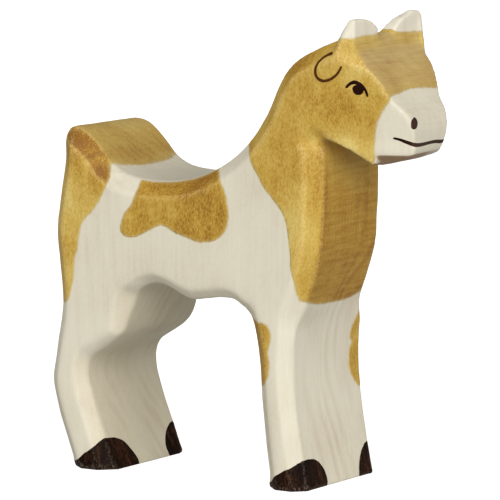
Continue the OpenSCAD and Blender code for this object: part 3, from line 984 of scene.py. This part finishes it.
# Marks that wrap round the muzzle are laid out as [angle round it, Z] and land on it from all
# round an upright axis inside the muzzle
MUZZLE_AXIS_X = 29.5
MUZZLE_R = 5.5


def muzzle_rays():
    def directions(flat):
        turn = flat[:, 0] / MUZZLE_R
        return np.column_stack((-np.cos(turn), -np.sin(turn), np.zeros(len(flat))))

    def starts(flat):
        away = -RAY_LENGTH * directions(flat)
        return away + np.column_stack((np.full(len(flat), MUZZLE_AXIS_X), np.zeros(len(flat)),
                                       flat[:, 1]))
    return directions, starts


def round_muzzle(x_at, y_at):
    """Distance round the muzzle of a point of it."""
    return MUZZLE_R * math.atan2(y_at, x_at - MUZZLE_AXIS_X)


MOUTH = [(30.9, -6.6, 58.95), (31.9, -6.0, 58.7), (33.0, -5.2, 58.2), (33.9, -4.2, 57.8),
         (34.0, -2.2, 57.75), (34.1, 0, 57.85), (34.0, 2.2, 57.85), (33.9, 4.2, 57.7),
         (33.0, 5.2, 58.0), (31.9, 6.0, 58.6), (30.9, 6.6, 58.95)]
MOUTH_WIDTHS = [0.26, 0.4, 0.56, 0.66, 0.6, 0.54, 0.58, 0.62, 0.5, 0.36, 0.24]
# The left nostril was painted further back than the right one
NOSTRILS = {RIGHT: (34.1, -4.95, 61.35), LEFT: (32.2, 6, 61.4)}
NOSTRIL_RADII = (0.6, 0.95)
NOSTRIL_TILT = 0.15

rays = muzzle_rays()
painted_piece("mouth_stroke", "mouth_line", stroke(
    [(round_muzzle(a, b), c) for a, b, c in MOUTH], MOUTH_WIDTHS, rays))
for side, tag in ((RIGHT, "right"), (LEFT, "left")):
    at_x, at_y, at_z = NOSTRILS[side]
    centre = (round_muzzle(at_x, at_y), at_z)
    painted_piece("nostril_" + tag + "_paint", "nostril_" + tag,
                  disc(centre, *NOSTRIL_RADII, side * NOSTRIL_TILT, *rays))

# ---------------------------------------------------------------- stage, light and camera

FLOOR_SIZE = 6  # m
FLOOR_DROP = 0.00005  # m, so that the soles don't share the floor's plane
FLOOR_GLOW = 0.9  # the floor looks as bright to the camera as the photograph's background
floor_mesh = bpy.data.meshes.new("floor")
h = FLOOR_SIZE / 2
floor_mesh.from_pydata([(-h, -h, 0), (h, -h, 0), (h, h, 0), (-h, h, 0)], [], [(0, 1, 2, 3)])
floor = bpy.data.objects.new("floor", floor_mesh)
floor.location.z = -FLOOR_DROP
bpy.context.scene.collection.objects.link(floor)
paper = Look("floor_paper")
paper_noise = paper.noise((0.02, 0.02, 0.02), 2)
paper_colour = paper.ramp(paper_noise, (0.0, (0.6, 0.6, 0.6, 1)), (1.0, (0.62, 0.62, 0.62, 1)))
paper.finish(paper_colour, 0.9, paper_noise, specular=0, bump=0, relief=0.05)
paper.shader.inputs["Emission Color"].default_value = (1, 1, 1, 1)
seen = paper.tree.nodes.new("ShaderNodeLightPath").outputs["Is Camera Ray"]
paper.feed(paper.shader.inputs["Emission Strength"], paper.times(seen, FLOOR_GLOW))
floor_mesh.materials.append(paper.material)

# A dim room with a brighter wall on the right side of the animal
ROOM, WALL = 0.18, 0.45
world = bpy.data.worlds.new("studio")
bpy.context.scene.world = world
world.use_nodes = True
sky = world.node_tree
towards_wall = sky.nodes.new("ShaderNodeVectorMath")
towards_wall.operation = "DOT_PRODUCT"
towards_wall.inputs[1].default_value = (0, -1, 0)
sky.links.new(sky.nodes.new("ShaderNodeTexCoord").outputs["Generated"], towards_wall.inputs[0])
strength = sky.nodes.new("ShaderNodeMapRange")
for key, v in (("From Min", 0), ("From Max", 1), ("To Min", ROOM), ("To Max", ROOM + WALL)):
    strength.inputs[key].default_value = v
sky.links.new(towards_wall.outputs["Value"], strength.inputs["Value"])
sky.links.new(strength.outputs["Result"], sky.nodes["Background"].inputs["Strength"])
sky.nodes["Background"].inputs["Color"].default_value = (1, 0.99, 0.98, 1)


def sun(name, strength, direction, softness, colour):
    """A large soft lamp. direction points from the object to the lamp."""
    data = bpy.data.lights.new(name, "SUN")
    data.energy = strength
    data.angle = math.radians(softness)
    data.color = colour
    lamp = bpy.data.objects.new(name, data)
    lamp.rotation_euler = Vector(direction).to_track_quat("Z", "Y").to_euler()
    bpy.context.scene.collection.objects.link(lamp)


DAYLIGHT = (1, 0.985, 0.97)
sun("high_window", 0.48, (0.05, -0.75, 0.66), 30, DAYLIGHT)
sun("key", 1.29, (0.5, -0.75, 0.45), 30, DAYLIGHT)
sun("fill", 0.9, (0.95, -0.1, 0.3), 40, DAYLIGHT)

# The camera at the photograph's angle. Angles in degrees, lengths in mm

AZIMUTH, ELEVATION = math.radians(32.4), math.radians(7.1)
DISTANCE = 739.4
LOOK_AT = Vector((-0.85, 0.22, 37.83)) * MM
back = Vector((math.sin(AZIMUTH) * math.cos(ELEVATION), -math.cos(AZIMUTH) * math.cos(ELEVATION),
               math.sin(ELEVATION)))
camera_data = bpy.data.cameras.new("camera")
camera_data.sensor_width = 36
camera_data.lens = 317
camera_data.clip_start = 0.01
camera = bpy.data.objects.new("camera", camera_data)
camera.location = LOOK_AT + back * DISTANCE * MM
camera.rotation_euler = back.to_track_quat("Z", "Y").to_euler()
bpy.context.scene.collection.objects.link(camera)
bpy.context.scene.camera = camera
bpy.context.scene.view_settings.view_transform = "Standard"
